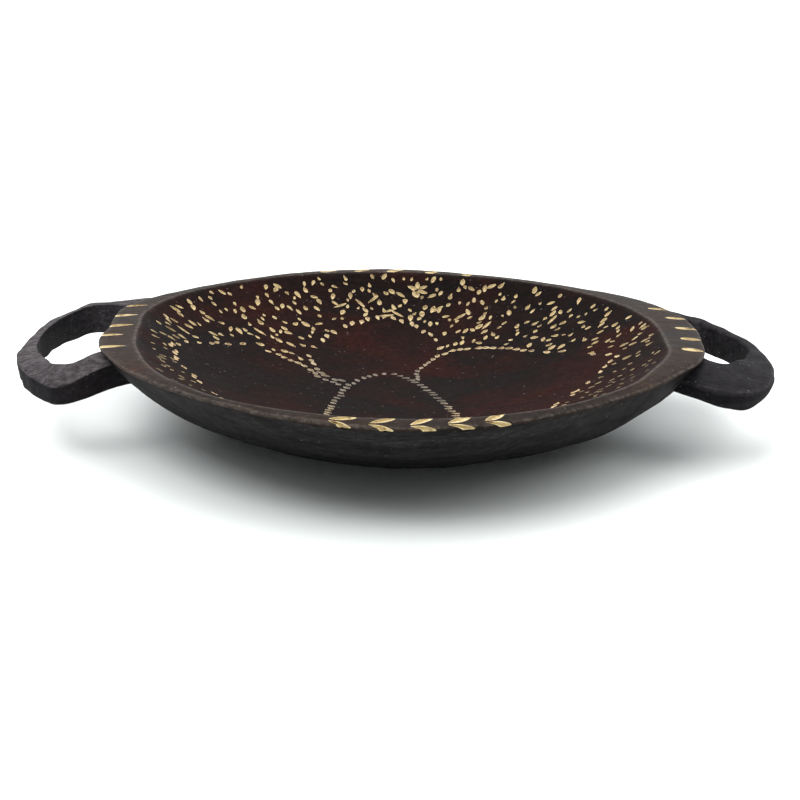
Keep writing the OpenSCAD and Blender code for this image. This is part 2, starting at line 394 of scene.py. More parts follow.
def closed_curve(points, step):
    """Points about step apart along a smooth closed curve, with the direction at each."""
    p = np.array(points, float)
    n = len(p)
    fine = []
    for i in range(n):
        a, b, c, d = p[i - 1], p[i], p[(i + 1) % n], p[(i + 2) % n]
        for t in np.linspace(0, 1, 24, endpoint=False):
            fine.append(between(a, b, c, d, t))
    fine = np.array(fine)
    seg = np.linalg.norm(np.roll(fine, -1, 0) - fine, axis=1)
    s = np.concatenate([[0], np.cumsum(seg)])
    m = max(3, int(round(s[-1] / step)))
    out = []
    for k in range(m):
        i = int(np.searchsorted(s, s[-1] * k / m, "right") - 1) % len(fine)
        d = fine[(i + 1) % len(fine)] - fine[i]
        out.append((fine[i][0], fine[i][1], math.atan2(d[1], d[0])))
    return out


OUTLINES = {name: np.array([(x, y) for x, y, _ in closed_curve(points, 3.0)])
            for name, points in DISCS.items()}


def within(x, y, name):
    """Whether plan points lie inside a disc's outline."""
    poly = OUTLINES[name]
    x, y = np.atleast_1d(x), np.atleast_1d(y)
    inside = np.zeros(len(x), bool)
    for (x1, y1), (x2, y2) in zip(poly, np.roll(poly, -1, 0)):
        cross = ((y1 > y) != (y2 > y)) & (x < (x2 - x1) * (y - y1) / (y2 - y1 + 1e-12) + x1)
        inside ^= cross
    return inside


def off_line(x, y, name):
    """Distance of plan points from a disc's outline."""
    poly = OUTLINES[name]
    x, y = np.atleast_1d(x), np.atleast_1d(y)
    return np.min(np.hypot(x[:, None] - poly[:, 0], y[:, None] - poly[:, 1]), axis=1)


def ring_marks():
    """Cuts along each disc's line, as (x, y, turn, length, width, skew), turned as pictured."""
    rng = random.Random(7)
    order = list(DISCS)
    out = {}
    for n, name in enumerate(order):
        marks = []
        for x, y, along in closed_curve(DISCS[name], 6.6 if name == "north" else 5.7):
            loose = 1.0 if abs(x) > 88 else 0.5 if name == "north" else 0.0
            x, y = x + rng.uniform(-0.8, 0.8) * (1 + loose), y + rng.uniform(-0.8, 0.8) * (1 + loose)
            if rng.random() < 0.3 * loose:
                continue
            if any(within(x, y, o)[0] or off_line(x, y, o)[0] < LINE_ROOM for o in order[:n]):
                continue
            if math.hypot(x, y) > rim_in(math.atan2(y, x)) - 7:
                continue
            radial = math.atan2(y, x)
            if name == "south":
                turn, length, width = along + 1.05, rng.uniform(4.2, 5.4), rng.uniform(2.0, 2.7)
            elif name == "north":
                turn = radial + rng.uniform(-0.5, 0.5)
                length, width = rng.uniform(3.6, 6.0), rng.uniform(1.9, 3.0)
            else:
                turn, length, width = along + 0.25, rng.uniform(3.8, 5.4), rng.uniform(2.1, 2.9)
            marks.append((x, y, turn + rng.uniform(-0.3, 0.3), length, width, rng.uniform(-0.4, 0.4)))
        out[name] = marks
    return out


def field_marks(taken):
    """Chips in rows along the borders of an uneven net of cells, clear of the discs and the crest."""
    rng = np.random.default_rng(12)
    seeds, step = [], 17.5
    for i in range(-12, 13):
        for j in range(-13, 14):
            x = (i + 0.5 * (j % 2)) * step + rng.uniform(-4.2, 4.2)
            y = j * step * 0.87 + rng.uniform(-4.2, 4.2)
            if math.hypot(x, y) < 195:
                seeds.append((x, y))
    seeds = np.array(seeds)
    pts = rng.uniform(-172, 172, (16000, 2))
    d = np.linalg.norm(pts[:, None, :] - seeds[None], axis=2)
    two = np.argsort(d, axis=1)[:, :2]
    row = np.arange(len(pts))
    d1, d2 = d[row, two[:, 0]], d[row, two[:, 1]]
    gap = seeds[two[:, 1]] - seeds[two[:, 0]]
    size = np.linalg.norm(gap, axis=1)
    pts = pts + gap * ((d2 ** 2 - d1 ** 2) / (2 * size * size))[:, None]
    pts = pts[(d2 - d1) < 3.4]
    pts += rng.normal(0, 0.5, pts.shape)
    r, a = np.hypot(pts[:, 0], pts[:, 1]), np.arctan2(pts[:, 1], pts[:, 0])
    keep = r < rim_in(a) - 4.5 - 3.5 * (np.cos(a) < -0.9)
    for name in DISCS:
        keep &= ~within(pts[:, 0], pts[:, 1], name) & (off_line(pts[:, 0], pts[:, 1], name) > FIELD_ROOM)
    pts = pts[keep]
    have = [(m[0], m[1]) for ms in taken.values() for m in ms]
    out = []
    for x, y in pts:
        if any((x - u) ** 2 + (y - v) ** 2 < CHIP_ROOM ** 2 for u, v in have):
            continue
        have.append((x, y))
        a = math.atan2(y, x)
        turn = a + rng.normal(0, 0.42) + math.pi * (rng.random() < 0.5)
        near = y < -15 and abs(x) > 80
        big = (0.9 + 0.12 * math.sin(a - 0.6)) * rng.uniform(0.6, 1.3) * (0.74 if near else 1.0)
        out.append((x, y, turn, 4.6 * big * rng.uniform(0.8, 1.4), 2.15 * big * rng.uniform(0.8, 1.25),
                    rng.uniform(-0.4, 0.4)))
    # a burst of cuts over the top of the north disc, and a few stray long ones
    for k in range(6):
        t = 0.5 + k * 1.05
        out.append((10 + 4.4 * math.cos(t), 149 + 4.4 * math.sin(t), t, 7.0, 2.6, 0.2))
    for x, y, turn in ((-45, 128, 0.7), (-31, 133, -0.9), (-22, 138, 1.0), (-9, 128, 0.6), (-4, 124, 2.4),
                       (-12, 122, 0.2), (24, 128, 0.7), (40, 118, 0.7), (58, 104, 0.9), (-96, 74, 2.6),
                       (102, 92, 0.8), (-140, 34, -0.3)):
        out.append((x, y, turn, 11.0, 1.7, 0.1))
    return out


def apart(m, o):
    """Whether two marks are clear of each other by 1.2 mm at least."""
    return math.hypot(m[0] - o[0], m[1] - o[1]) - 0.5 * (m[3] + o[3]) - 1.2 > 0


def spread(marks, groups=4):
    """Share marks out so that none touches another of its own group, or leave a crowded one out."""
    out = [[] for _ in range(groups)]
    for m in marks:
        free = next((g for g in out if all(apart(m, o) for o in g)), None)
        if free is not None:
            free.append(m)
    return [g for g in out if g]


def chip_cutter(marks, deeper):
    """One cutter for many marks inside the dish, each grown by deeper."""
    whole = None
    for g in spread(marks):
        parts = []
        for x, y, turn, length, width, skew in g:
            z = float(inside_height(x, y))
            depth = 0.28 * width + 0.25
            shape = spindle(length + 2 * deeper, width + 1.6 * deeper, depth + deeper, 7, 8, skew)
            parts.append(place(shape, (x, y, z), inside_normal(x, y), turn))
        ob = gather("cutter", parts)
        if whole is None:
            whole = ob
        else:
            boolean(whole, ob, "UNION")
            drop(ob)
    return whole


def quadrant(marks, sx, sy):
    """The marks on the sides of the axes that the signs sx and sy give."""
    return [m for m in marks if (m[0] >= 0) == (sx > 0) and (m[1] >= 0) == (sy > 0)]


def rim_gouge(x, y, turn, length, width, depth, deeper):
    """Cutter for a mark on the rim's top, grown by deeper."""
    a = math.atan2(y, x)
    r = math.hypot(x, y)
    share = min(1.0, max(0.0, (r - rim_in(a)) / (rim_out(a) - rim_in(a))))
    z = float(RIM_Z + rim_lift(a) - 1.0 * share ** 1.3 - 0.05)
    n = (0.06 * math.cos(a), 0.06 * math.sin(a), 1)
    shape = spindle(length + 1.4 * deeper, width + 1.4 * deeper, depth + deeper, 12, 12)
    return place(shape, (x, y, z), n, turn)


MARK_R = 172.0                        # radius on which the chevrons are spaced
FRONT_X = [-34, -15, 4.5, 22, 40]
BACK_X = [-49, -25, 0, 26, 52]
LEFT_Y = [46, 20, -5, -27, -53]
RIGHT_Y = [66, 41, 15, -10, -34]


def chevron(a, pointing, size, seed):
    """Two leaf cuts on the rim's top that meet in a point, towards the plan direction pointing."""
    rng = random.Random(seed)
    mid = 0.5 * (rim_out(a) + rim_in(a))
    tx, ty = mid * math.cos(a), mid * math.sin(a)
    cuts = []
    for side in (-1, 1):
        turn = pointing + math.pi + side * (0.55 + rng.uniform(-0.06, 0.06))
        length = size * rng.uniform(0.88, 1.08)
        x = tx + math.cos(turn) * length * 0.52
        y = ty + math.sin(turn) * length * 0.52
        cuts.append((x, y, turn, length, 4.4 * rng.uniform(0.9, 1.1), 1.2))
    return cuts


def edge_point(a):
    """Plan point of the rim's outer edge in the direction a."""
    return float(rim_out(a)) * math.cos(a), float(rim_out(a)) * math.sin(a)


def front_chevron(x, seed, deeper):
    """Cutters of a V whose point is near the lip: one leaf over the rim's top, one down the lip."""
    rng = random.Random(seed)
    a = -math.acos((x + 6) / MARK_R)
    before, after = np.array([edge_point(a - 0.03), edge_point(a + 0.03)])
    along = Vector((*(after - before), 0)).normalized()
    inward = Vector((-along.y, along.x, 0))
    edge = Vector((*edge_point(a), RIM_Z + float(rim_lift(a))))
    broad = float(rim_out(a) - rim_in(a))
    # each leaf's start and end, as distances along the edge, inwards from it and up,
    # then how far its cut faces outwards and up, and its width
    over_top = ((-6.2, 3.6, -0.75), (6.0, broad - 1.4, -0.3), (0.05, 1.0), 3.5)
    down_lip = ((-6.2, 2.3, -1.0), (6.2, -0.1, -3.3), (0.75, 0.66), 2.0)
    out = []
    for start, end, (face_out, face_up), width in (over_top, down_lip):
        grow = rng.uniform(-0.8, 0.6)
        one = edge + along * start[0] + inward * start[1] + Vector((0, 0, start[2]))
        two = edge + along * (end[0] + grow) + inward * end[1] + Vector((0, 0, end[2]))
        d = (two - one).normalized()
        n = Vector((0, 0, face_up)) - inward * face_out
        n = (n - d * n.dot(d)).normalized()
        length = (two - one).length
        verts, faces = spindle(length + 1.2 * deeper, width * rng.uniform(0.9, 1.08) + 1.2 * deeper,
                               1.1 + deeper, 14, 12)
        m = np.array([d, n.cross(d), n]).T
        out.append((verts @ m.T + np.array((one + two) / 2), faces))
    return out


def edge_x(y, side):
    """X of the rim's outer edge at a given y, on the side -1 or 1."""
    a = math.pi / 2 - side * math.pi / 2
    for _ in range(20):
        a = math.asin(y / float(rim_out(a)))
        a = a if side > 0 else math.pi - a
    return float(rim_out(a)) * math.cos(a)


def rim_marks():
    """Cuts on the rim's top by node, as (x, y, turn, length, width, depth)."""
    out = {"chevrons_back": [], "notches_left": [], "notches_right": []}
    for i, x in enumerate(BACK_X):
        a = math.acos(x / MARK_R)
        out["chevrons_back"] += chevron(a, 0.0, 14.0, 50 + i)
    rng = random.Random(5)
    for y in LEFT_Y:
        out["notches_left"].append((edge_x(y, -1) + 6.2, y, math.pi + 0.03, 15.5 * rng.uniform(0.92, 1.1),
                                    3.7 * rng.uniform(0.85, 1.1), 1.2))
    for y in RIGHT_Y:
        out["notches_right"].append((edge_x(y, 1) - 6.8, y, math.pi - 0.02, 14.5 * rng.uniform(0.92, 1.1),
                                     4.7 * rng.uniform(0.85, 1.1), 1.2))
    return out


# ---------------------------------------------------------------- handles
# stations from the far root round to the near root, in mm, heights from the rim's level:
# outer top x, y, z, inner top x, y, z, drop of the outer and inner sides, their slant inwards
LEFT_KEYS = [
    (-150, 76, -2, -150, 56, -2, 20, 20, 2, 2),
    (-174, 74, -2, -170, 58, -3, 20, 20, 2, 2),
    (-190, 78, -5, -184, 66, -6, 20, 20, 2, 2),
    (-205, 85, -8.5, -199, 79, -8.5, 20, 20, 2, 1),
    (-214, 85, -10, -211, 79, -9.5, 19, 20, 2, 1),
    (-224, 71, -12, -219, 66, -11, 18, 20, 2, 1),
    (-230, 50, -13, -224, 47, -12, 16, 19, 2, 1),
    (-232, 24, -14, -225, 24, -12.5, 14, 18, 2, 1),
    (-231, -4, -14.5, -222, -2, -12.5, 13, 17, 2, 1),
    (-226, -34, -14, -214, -28, -11.5, 12.5, 16, 2, 1),
    (-212, -64, -14, -202, -51, -9.5, 12, 15, 2, 1),
    (-194, -84.5, -14.5, -195, -64, -7.5, 11, 15, 2, 2),
    (-188, -87.5, -14.5, -189, -67, -6.5, 11, 15, 2, 2),
    (-181, -85, -13, -182, -68.5, -5, 12, 15, 2, 2),
    (-170, -76, -8.5, -175, -60, -3.5, 15, 16, 2, 2),
    (-158, -66, -6, -166, -48, -2, 15, 18, 2, 2),
    (-140, -56, -5, -152, -38, -1, 15, 18, 2, 2),
]
RIGHT_KEYS = [
    (150, 78, -2, 150, 56, -2, 20, 20, 3, 2),
    (172, 75, -2, 172, 58, -3, 20, 20, 3, 2),
    (190, 75, -5.5, 187, 63, -6, 20, 20, 3, 2),
    (203, 71, -8.5, 197, 64, -8.5, 20, 20, 3, 2),
    (213, 57, -10.5, 205, 52, -10, 20, 20, 3, 2),
    (222, 36, -12, 212, 33, -10.5, 19, 20, 3, 2),
    (225, 10, -13, 213, 8, -10.5, 18, 20, 3, 2),
    (222, -22, -13.5, 206, -11, -9, 15, 19, 4, 2),
    (215, -48, -14, 197, -26, -7.5, 12, 18, 6, 3),
    (205, -66, -14, 190, -36, -6, 10, 18, 6, 3),
    (194, -76, -13.5, 184, -41, -5, 12, 18, 5, 3),
    (182, -80, -12.5, 177, -40, -4, 11, 18, 5, 3),
    (170, -77, -11.5, 172, -34, -3, 9.5, 18, 4, 3),
    (156, -66, -11, 164, -26, -2, 8, 20, 4, 3),
    (140, -56, -11, 152, -20, -2, 8, 20, 4, 3),
]


def bar_section(key, corner):
    """Closed ring of points round a handle's bar, its four corners rounded."""
    xo, yo, zo, xi, yi, zi, fall_o, fall_i, slant_o, slant_i = key
    o, i = np.array([xo, yo, zo], float), np.array([xi, yi, zi], float)
    d = np.append((i - o)[:2] / np.linalg.norm((i - o)[:2]), 0)
    ob = o + d * slant_o - np.array([0, 0, fall_o])
    ib = i - d * slant_i - np.array([0, 0, fall_i])
    quad = [o, i, ib, ob]
    out = []
    for k in range(4):
        p, q, r = quad[k - 1], quad[k], quad[(k + 1) % 4]
        before = q + (p - q) * min(0.45, corner[k] / np.linalg.norm(p - q))
        after = q + (r - q) * min(0.45, corner[k] / np.linalg.norm(r - q))
        for t in (0, 0.3, 0.7, 1):
            out.append((1 - t) ** 2 * before + 2 * t * (1 - t) * q + t * t * after)
        flat_end = r + (q - r) * min(0.45, corner[(k + 1) % 4] / np.linalg.norm(q - r))
        out.append(after + (flat_end - after) * 0.33)
        out.append(after + (flat_end - after) * 0.67)
    return np.array(out)


def handle(name, keys, seed, corner, per=12):
    """A carved bar through its stations, with its ends closed and slightly uneven faces."""
    rings = [bar_section(k, corner) for k in keys]
    p = [2 * rings[0] - rings[1]] + rings + [2 * rings[-1] - rings[-2]]
    rows = []
    for s in range(len(rings) - 1):
        a, b, c, d = p[s:s + 4]
        for t in np.linspace(0, 1, per, endpoint=False):
            rows.append(between(a, b, c, d, t))
    rows.append(rings[-1])
    n = len(rows[0])
    verts = np.concatenate(rows) + np.array([0, 0, RIM_Z])
    faces = []
    for i in range(len(rows) - 1):
        for k in range(n):
            m = (k + 1) % n
            faces.append((i * n + k, i * n + m, (i + 1) * n + m, (i + 1) * n + k))
    faces.append(tuple(range(n)))
    faces.append(tuple((len(rows) - 1) * n + k for k in reversed(range(n))))
    ob = mesh_object(name, verts, faces)
    me = ob.data
    bm = bmesh.new()
    bm.from_mesh(me)
    bmesh.ops.recalc_face_normals(bm, faces=bm.faces)
    bm.to_mesh(me)
    bm.free()
    me.update()
    co = np.array([v.co for v in me.vertices]) / MM
    no = np.array([v.normal for v in me.vertices])
    low, fine = Waves(seed, 24, 12), Waves(seed + 1, 8, 16)
    co += no * (0.28 * low(co) + 0.04 * fine(co))[:, None]
    me.vertices.foreach_set("co", (co * MM).ravel())
    me.update()
    return ob


# ---------------------------------------------------------------- materials
def nodes_of(mat):
    mat.use_nodes = True
    nt = mat.node_tree
    nt.nodes.clear()
    out = nt.nodes.new("ShaderNodeOutputMaterial")
    bsdf = nt.nodes.new("ShaderNodeBsdfPrincipled")
    nt.links.new(bsdf.outputs[0], out.inputs[0])
    return nt, bsdf


def coords(nt, scale, shift=(0, 0, 0)):
    tc = nt.nodes.new("ShaderNodeTexCoord")
    mp = nt.nodes.new("ShaderNodeMapping")
    mp.inputs["Scale"].default_value = scale
    mp.inputs["Location"].default_value = shift
    nt.links.new(tc.outputs["Object"], mp.inputs[0])
    return mp.outputs[0]


def noise(nt, vec, scale, detail=4.0, rough=0.55, distort=0.0):
    n = nt.nodes.new("ShaderNodeTexNoise")
    n.inputs["Scale"].default_value = scale
    n.inputs["Detail"].default_value = detail
    n.inputs["Roughness"].default_value = rough
    n.inputs["Distortion"].default_value = distort
    nt.links.new(vec, n.inputs["Vector"])
    return n.outputs[0]


def ramp(nt, fac, stops):
    r = nt.nodes.new("ShaderNodeValToRGB")
    el = r.color_ramp.elements
    while len(el) < len(stops):
        el.new(0.5)
    for e, (p, c) in zip(el, stops):
        e.position = p
        e.color = (*c, 1)
    nt.links.new(fac, r.inputs[0])
    return r.outputs[0]


def mix(nt, fac, a, b, mode="MIX"):
    m = nt.nodes.new("ShaderNodeMix")
    m.data_type = "RGBA"
    m.blend_type = mode
    for sock, v in ((m.inputs[0], fac), (m.inputs[6], a), (m.inputs[7], b)):
        if isinstance(v, (int, float)):
            sock.default_value = v
        elif isinstance(v, tuple):
            sock.default_value = (*v, 1)
        else:
            nt.links.new(v, sock)
    return m.outputs[2]


def to_range(nt, fac, lo, hi, a=0.0, b=1.0):
    m = nt.nodes.new("ShaderNodeMapRange")
    m.inputs["From Min"].default_value = a
    m.inputs["From Max"].default_value = b
    m.inputs["To Min"].default_value = lo
    m.inputs["To Max"].default_value = hi
    nt.links.new(fac, m.inputs[0])
    return m.outputs[0]


def maths(nt, op, a, b=0.5):
    m = nt.nodes.new("ShaderNodeMath")
    m.operation = op
    for sock, v in ((m.inputs[0], a), (m.inputs[1], b)):
        if isinstance(v, (int, float)):
            sock.default_value = v
        else:
            nt.links.new(v, sock)
    return m.outputs[0]


def bump(nt, bsdf, height, strength, distance):
    b = nt.nodes.new("ShaderNodeBump")
    b.inputs["Strength"].default_value = strength
    b.inputs["Distance"].default_value = distance
    nt.links.new(height, b.inputs["Height"])
    nt.links.new(b.outputs[0], bsdf.inputs["Normal"])


def dark_wood(name, dark, mid, warm, rough, sheen, wear_and_light_colour, warm_amount=0.5, grain_amount=0.6,
              relief=0.00012, dust=0.5, cloudy=0.8, outside_with_reflection=None):
    """Stained wood: grain from dark to mid, warm patches, mottling, dust specks, and a paler colour mixed
    in by a stored per-vertex value: partly rubbed wear, partly painted highlights and painted light.
    The outside colour, where a piece has one, is partly the wood's own colour and partly a painted
    reflection of the pale floor. Texture scales are per metre."""
    mat = bpy.data.materials.new(name)
    nt, bsdf = nodes_of(mat)
    grain = noise(nt, coords(nt, (9, 130, 150)), 1.0, 6.0, 0.62, 0.35)
    pores = noise(nt, coords(nt, (70, 1100, 1200)), 1.0, 3.0, 0.6)
    patch = noise(nt, coords(nt, (11, 17, 20), (0.3, 0.1, 0)), 1.0, 4.0, 0.6, 0.6)
    mottle = noise(nt, coords(nt, (240, 330, 330), (0.7, 0, 0.2)), 1.0, 4.0, 0.7, 0.3)
    fine = noise(nt, coords(nt, (900, 900, 900)), 1.0, 2.0, 0.5)
    specks = noise(nt, coords(nt, (520, 520, 520), (0.4, 0.9, 0.1)), 1.0, 1.0, 0.4)
    body = ramp(nt, grain, [(0.30, dark), (0.56, mid), (0.74, tuple(c * 1.5 for c in mid))])
    warmth = ramp(nt, patch, [(0.46, (0, 0, 0)), (0.68, (warm_amount,) * 3)])
    col = mix(nt, warmth, body, warm)
    # paler colour from the stored value: rubbed wear plus painted highlights and painted light
    wear_and_painted_light = nt.nodes.new("ShaderNodeAttribute")
    wear_and_painted_light.attribute_name = "wear_and_painted_light"
    rub_and_light = maths(nt, "MULTIPLY", wear_and_painted_light.outputs["Fac"], to_range(nt, mottle, 0.36, 0.84, 0.3, 0.65))
    col = mix(nt, rub_and_light, col, wear_and_light_colour)
    # the outside is painted a lighter neutral grey: partly its own colour, partly a painted reflection of
    # the pale floor
    if outside_with_reflection:
        outside = nt.nodes.new("ShaderNodeAttribute")
        outside.attribute_name = "outside"
        deep, pale = tuple(c * 0.55 for c in outside_with_reflection), tuple(c * 1.45 for c in outside_with_reflection)
        grey = ramp(nt, grain, [(0.30, deep), (0.70, pale)])
        col = mix(nt, outside.outputs["Fac"], col, grey)
    lines = ramp(nt, pores, [(0.30, (0.35, 0.35, 0.35)), (0.46, (1, 1, 1))])
    col = mix(nt, grain_amount, col, mix(nt, 1.0, col, lines, "MULTIPLY"))
    cloud = ramp(nt, mottle, [(0.32, (0.5, 0.5, 0.5)), (0.5, (1, 1, 1)), (0.68, (1.6, 1.6, 1.6))])
    col = mix(nt, cloudy, col, mix(nt, 1.0, col, cloud, "MULTIPLY"))
    col = mix(nt, ramp(nt, specks, [(0.755, (0, 0, 0)), (0.775, (dust,) * 3)]), col, (0.20, 0.19, 0.18))
    nt.links.new(col, bsdf.inputs["Base Color"])
    roughness = to_range(nt, maths(nt, "ADD", grain, patch), rough - 0.08, rough + 0.12, 0.7, 1.3)
    nt.links.new(roughness, bsdf.inputs["Roughness"])
    coarse = maths(nt, "ADD", maths(nt, "MULTIPLY", grain, 1.2), maths(nt, "MULTIPLY", pores, 0.6))
    small = maths(nt, "ADD", maths(nt, "MULTIPLY", fine, 0.25), maths(nt, "MULTIPLY", mottle, 0.8))
    bump(nt, bsdf, maths(nt, "ADD", coarse, small), 0.55, relief)
    bsdf.inputs["Specular IOR Level"].default_value = sheen
    return mat


def bare_wood(name, light, mid, brown, painted_sheen=0.0, front=1.0):
    """Unstained wood in a cut. The greying amount paints a sheen: it greys the wood around the middle of
    the bowl. front dims it towards the front."""
    mat = bpy.data.materials.new(name)
    nt, bsdf = nodes_of(mat)
    grain = noise(nt, coords(nt, (60, 700, 700)), 1.0, 4.0, 0.6, 0.2)
    tone = noise(nt, coords(nt, (260, 260, 260)), 1.0, 3.0, 0.6)
    col = ramp(nt, grain, [(0.25, brown), (0.42, mid), (0.62, light)])
    shade = ramp(nt, tone, [(0.36, (0.42, 0.34, 0.24)), (0.50, (1, 1, 1))])
    col = mix(nt, 0.85, col, mix(nt, 1.0, col, shade, "MULTIPLY"))
    if painted_sheen:
        # painted sheen: the wood greyed and darkened around the middle of the bowl
        middle = nt.nodes.new("ShaderNodeTexGradient")
        middle.gradient_type = "SPHERICAL"
        nt.links.new(coords(nt, (11.5, 11.5, 0), (0.1, -0.05, 0)), middle.inputs[0])
        near = ramp(nt, middle.outputs["Fac"], [(0.05, (0, 0, 0)), (0.55, (painted_sheen,) * 3)])
        col = mix(nt, near, col, (0.10, 0.085, 0.075))
    if front < 1:
        split = nt.nodes.new("ShaderNodeSeparateXYZ")
        nt.links.new(coords(nt, (1, 1, 1)), split.inputs[0])
        dimmer = to_range(nt, split.outputs[1], front, 1.0, -0.04, 0.06)
        col = mix(nt, 1.0, col, dimmer, "MULTIPLY")
    nt.links.new(col, bsdf.inputs["Base Color"])
    bsdf.inputs["Roughness"].default_value = 0.62
    bump(nt, bsdf, grain, 0.5, 0.00015)
    return mat


# the dish's outside colour, the last argument, is partly a painted reflection of the pale floor
WOOD = dark_wood("stained_wood", dark=(0.0034, 0.0026, 0.0026), mid=(0.0075, 0.0043, 0.0039),
                 warm=(0.032, 0.0072, 0.0045), rough=0.52, sheen=0.012,
                 wear_and_light_colour=(0.08, 0.066, 0.058), outside_with_reflection=(0.0195, 0.0182, 0.0184))
RIM = dark_wood("rim_wood", dark=(0.0080, 0.0058, 0.0046), mid=(0.0190, 0.0128, 0.0098),
                warm=(0.050, 0.023, 0.014), rough=0.52, sheen=0.035,
                wear_and_light_colour=(0.10, 0.085, 0.075), warm_amount=0.35, relief=0.00016)
HANDLE = dark_wood("handle_wood", dark=(0.0058, 0.0056, 0.0066), mid=(0.0125, 0.0116, 0.0134),
                   warm=(0.03, 0.023, 0.024), rough=0.66, sheen=0.025,
                   wear_and_light_colour=(0.105, 0.093, 0.098), warm_amount=0.3, grain_amount=0.7,
                   relief=0.0003, dust=0.7, cloudy=0.65)
BARE = bare_wood("bare_wood", (0.66, 0.55, 0.31), (0.50, 0.37, 0.16), (0.17, 0.095, 0.04))
CHIPS = bare_wood("bare_wood_inside", (0.56, 0.44, 0.22), (0.41, 0.29, 0.12), (0.14, 0.08, 0.03),
                  front=0.6)
# bare wood with a painted sheen that greys it around the middle of the bowl
SHEENED_BARE = bare_wood("dull_bare_wood", (0.60, 0.48, 0.27), (0.44, 0.31, 0.15), (0.17, 0.10, 0.05),
                 painted_sheen=0.85)


# ---------------------------------------------------------------- build
def keep_largest(ob):
    """Remove loose bits of a trimmed handle that lie inside the bowl."""
    bm = bmesh.new()
    bm.from_mesh(ob.data)
    bm.verts.ensure_lookup_table()
    seen, islands = set(), []
    for v in bm.verts:
        if v.index in seen:
            continue
        stack, island = [v], []
        seen.add(v.index)
        while stack:
            w = stack.pop()
            island.append(w)
            for e in w.link_edges:
                o = e.other_vert(w)
                if o.index not in seen:
                    seen.add(o.index)
                    stack.append(o)
        islands.append(island)
    islands.sort(key=len)
    bmesh.ops.delete(bm, geom=[v for isl in islands[:-1] for v in isl], context="VERTS")
    bm.to_mesh(ob.data)
    bm.free()


def store(ob, value, name="wear_and_painted_light"):
    """Store a value from 0 to 1 at each vertex, such as how much rubbed wear and painted light the surface
    has.
    """
    me = ob.data
    co = np.empty(len(me.vertices) * 3)
    me.vertices.foreach_get("co", co)
    att = me.attributes.get(name) or me.attributes.new(name, "FLOAT", "POINT")
    att.data.foreach_set("value", value(co.reshape(-1, 3) / MM).astype(np.float32))


def rim_wear_and_highlight(co):
    """Paler bands along the crest and the lip's edge: partly rubbed wear, partly painted highlight lines.
    """
    a = np.arctan2(co[:, 1], co[:, 0])
    r = np.hypot(co[:, 0], co[:, 1])
    low = RIM_Z + rim_lift(a) - co[:, 2]
    crest = np.exp(-((r - rim_in(a) - 0.6) / 1.2) ** 2)
    edge = np.exp(-((r - rim_out(a) + 0.4) / 0.9) ** 2) * (low < 2.6)
    return np.clip((0.6 * crest + 0.6 * edge) * (low < 3.0), 0, 1)


def outside_share(co):
    """1 on the outside of the dish, 0 on its inside."""
    return np.clip((inside_height(co[:, 0], co[:, 1]) - co[:, 2] - 2) / 3, 0, 1)


def handle_wear_and_painted_light(co, normals, most):
    """Paler by up to most on top (partly worn, partly painted light), painted highlights along the ridges,
    and painted light on faces to the front behind y = 0.
    """
    top = most * np.clip(normals[:, 2], 0, 1) ** 3
    ridge = 0.3 * np.exp(-((normals[:, 2] - 0.68) / 0.14) ** 2)
    front = 0.4 * np.clip(-normals[:, 1], 0, 1) * (co[:, 1] > 0)
    return np.clip(top + ridge + front, 0, 1)


def dish_and_rim():
    """The uncut dish and rim, with the unevenness of hand work."""
    body = revolve(body_profile, "carved_dish")
    rim = revolve(rim_profile, "carved_rim")
    soften(body, [(Waves(3, 60, 12), 0.35, outer_only, "r"), (Waves(4, 20, 14), 0.14, outer_only, "r"),
                  (Waves(8, 26, 16), 0.12, inner_only, "z")])
    soften(rim, [(Waves(9, 18, 14), 0.07, rim_top_only, "z")])
    return body, rim


def both_handles(body, rim):
    """The two handles, each trimmed to meet the dish and rim."""
    handles = [handle("loop_left", LEFT_KEYS, 21, (1.0, 1.0, 2.0, 2.0)),
               handle("loop_right", RIGHT_KEYS, 22, (5.0, 3.0, 3.5, 4.0))]
    for ob in handles:
        for blank in (body, rim):
            boolean(ob, blank, "DIFFERENCE")
        keep_largest(ob)
    return handles


def lining(host, node, deep, thin):
    """Bare wood that lines a group of cuts: the host's wood between two sizes of one cutter."""
    liner = copy_of(host, "cuts_" + node)
    boolean(liner, deep, "INTERSECT")
    boolean(liner, thin, "DIFFERENCE")
    drop(thin)
    return liner


def cuts_inside(body):
    """Lining pieces of the marks inside the dish, and the cutters that make room for them."""
    rings = ring_marks()
    field = field_marks(rings)
    groups = {"ring_line_" + name: marks for name, marks in rings.items()}
    for name, sx, sy in (("north_west", -1, 1), ("north_east", 1, 1),
                         ("south_west", -1, -1), ("south_east", 1, -1)):
        groups["chip_field_" + name] = quadrant(field, sx, sy)
    pieces, cutters = [], []
    for node, marks in groups.items():
        deep, thin = chip_cutter(marks, CHIP_LINING), chip_cutter(marks, 0.0)
        material = (SHEENED_BARE, "dull_bare_wood") if node.startswith("ring") else (CHIPS, "bare_wood")
        pieces.append((lining(body, node, deep, thin), node, *material))
        cutters.append(deep)
    return pieces, cutters


def joined_cutter(shapes):
    """One cutter from shapes of which only neighbours in the list may touch."""
    one = gather("cutter", shapes[0::2])
    two = gather("cutter", shapes[1::2])
    boolean(one, two, "UNION")
    drop(two)
    return one


def cuts_on_rim(rim):
    """Lining pieces of the marks on the rim, and the cutters that make room for them."""
    sizes = (RIM_LINING, 0.0)
    shapes = {node: [[rim_gouge(*cut, deeper) for cut in cuts] for deeper in sizes]
              for node, cuts in rim_marks().items()}
    shapes["chevrons_front"] = [[leaf for i, x in enumerate(FRONT_X)
                                 for leaf in front_chevron(x, 30 + i, deeper)] for deeper in sizes]
    pieces, cutters = [], []
    for node, (large, small) in shapes.items():
        deep, thin = joined_cutter(large), joined_cutter(small)
        pieces.append((lining(rim, node, deep, thin), node, BARE, "bare_wood"))
        cutters.append(deep)
    return pieces, cutters


